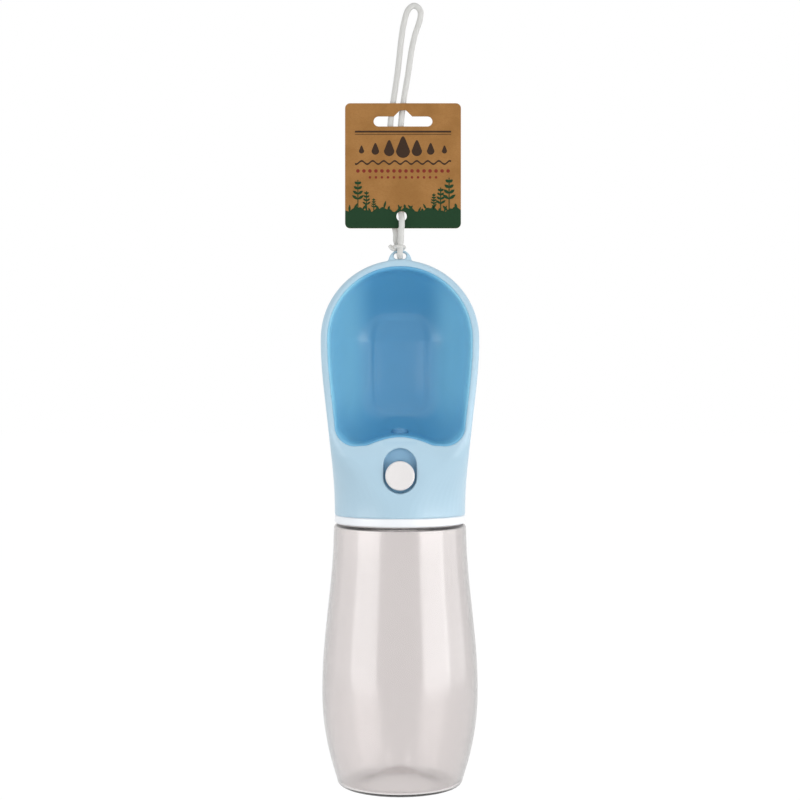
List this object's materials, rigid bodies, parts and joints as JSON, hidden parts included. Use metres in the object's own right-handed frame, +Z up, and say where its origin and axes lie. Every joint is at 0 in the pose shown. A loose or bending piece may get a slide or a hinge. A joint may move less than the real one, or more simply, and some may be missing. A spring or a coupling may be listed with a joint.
{
  "type": "dog travel water bottle",
  "caption": "Clear bottle screwed under a scoop-shaped drinking trough with a push valve, hung by a cord loop that carries a card tag.",
  "frame": {"origin": "inside of the cord loop's top bend, where a hook carries the hanging bottle", "axes": "+Z up along the bottle's axis, which lies 7 mm to the left of the origin and 10 mm behind it; front (trough and button) towards -Y"},
  "size_m": [0.0788, 0.0788, 0.3929],
  "materials": {
    "bottle_clear": "clear moulded plastic, glossy",
    "seal_white": "soft silicone",
    "collar_white": "white moulded plastic",
    "shell_blue": "pale blue moulded plastic, satin gloss",
    "liner_blue": "mid blue moulded plastic, satin gloss",
    "valve_plastic": "light blue moulded plastic",
    "seal_grey": "soft silicone",
    "stem_white": "white moulded plastic",
    "spring_steel": "bright drawn wire",
    "seal_blue": "soft blue silicone",
    "slider_blue": "mid blue moulded plastic",
    "button_white": "white moulded plastic",
    "kraft_card": "printed kraft card, uncoated",
    "cord_white": "braided cord"
  },
  "bodies": {
    "head": {"head_shell": "shell_blue", "trough_liner": "liner_blue", "inner_cap": "collar_white", "valve_body": "valve_plastic", "spout_seal": "seal_grey", "valve_seat": "seal_grey", "stem_o_ring": "seal_grey", "return_spring": "spring_steel", "valve_plug": "valve_plastic", "plug_o_ring": "seal_grey", "outlet_grommet": "seal_blue", "hang_tag": "kraft_card", "cord": "cord_white", "cord_knot": "cord_white"},
    "gasket": {"bottle_gasket": "seal_white"},
    "bottle": {"bottle": "bottle_clear"},
    "slider": {"lock_slider": "slider_blue"},
    "button": {"button": "button_white", "button_clip": "spring_steel"},
    "stem": {"valve_stem": "stem_white", "poppet_washer": "seal_grey"}
  },
  "joints": [
    {"name": "bottle_turn", "type": "hinge", "parent": "head", "child": "gasket", "pos_m": [-0.007, 0.01, -0.2539], "axis": [0, 0, -1], "range_deg": [0, 1080]},
    {"name": "bottle_drop", "type": "slide", "parent": "gasket", "child": "bottle", "axis": [0, 0, -1], "range_m": [0, 0.0126]},
    {"name": "lock_slide", "type": "slide", "parent": "head", "child": "slider", "axis": [0, 0, 1], "range_m": [0, 0.0045]},
    {"name": "button_press", "type": "slide", "parent": "slider", "child": "button", "axis": [0, 1, 0], "range_m": [0, 0.0026], "stiffness_N_per_m": 400, "springref_m": -0.002},
    {"name": "valve_stroke", "type": "slide", "parent": "head", "child": "stem", "axis": [0, 1, 0], "range_m": [0, 0.0026], "stiffness_N_per_m": 400, "springref_m": -0.002, "deforming": ["return_spring"]}
  ],
  "couplings": [
    {"joint": "bottle_drop", "follows": "bottle_turn", "m_per_rad": 0.00066845},
    {"joint": "valve_stroke", "follows": "button_press", "ratio": 1}
  ]
}
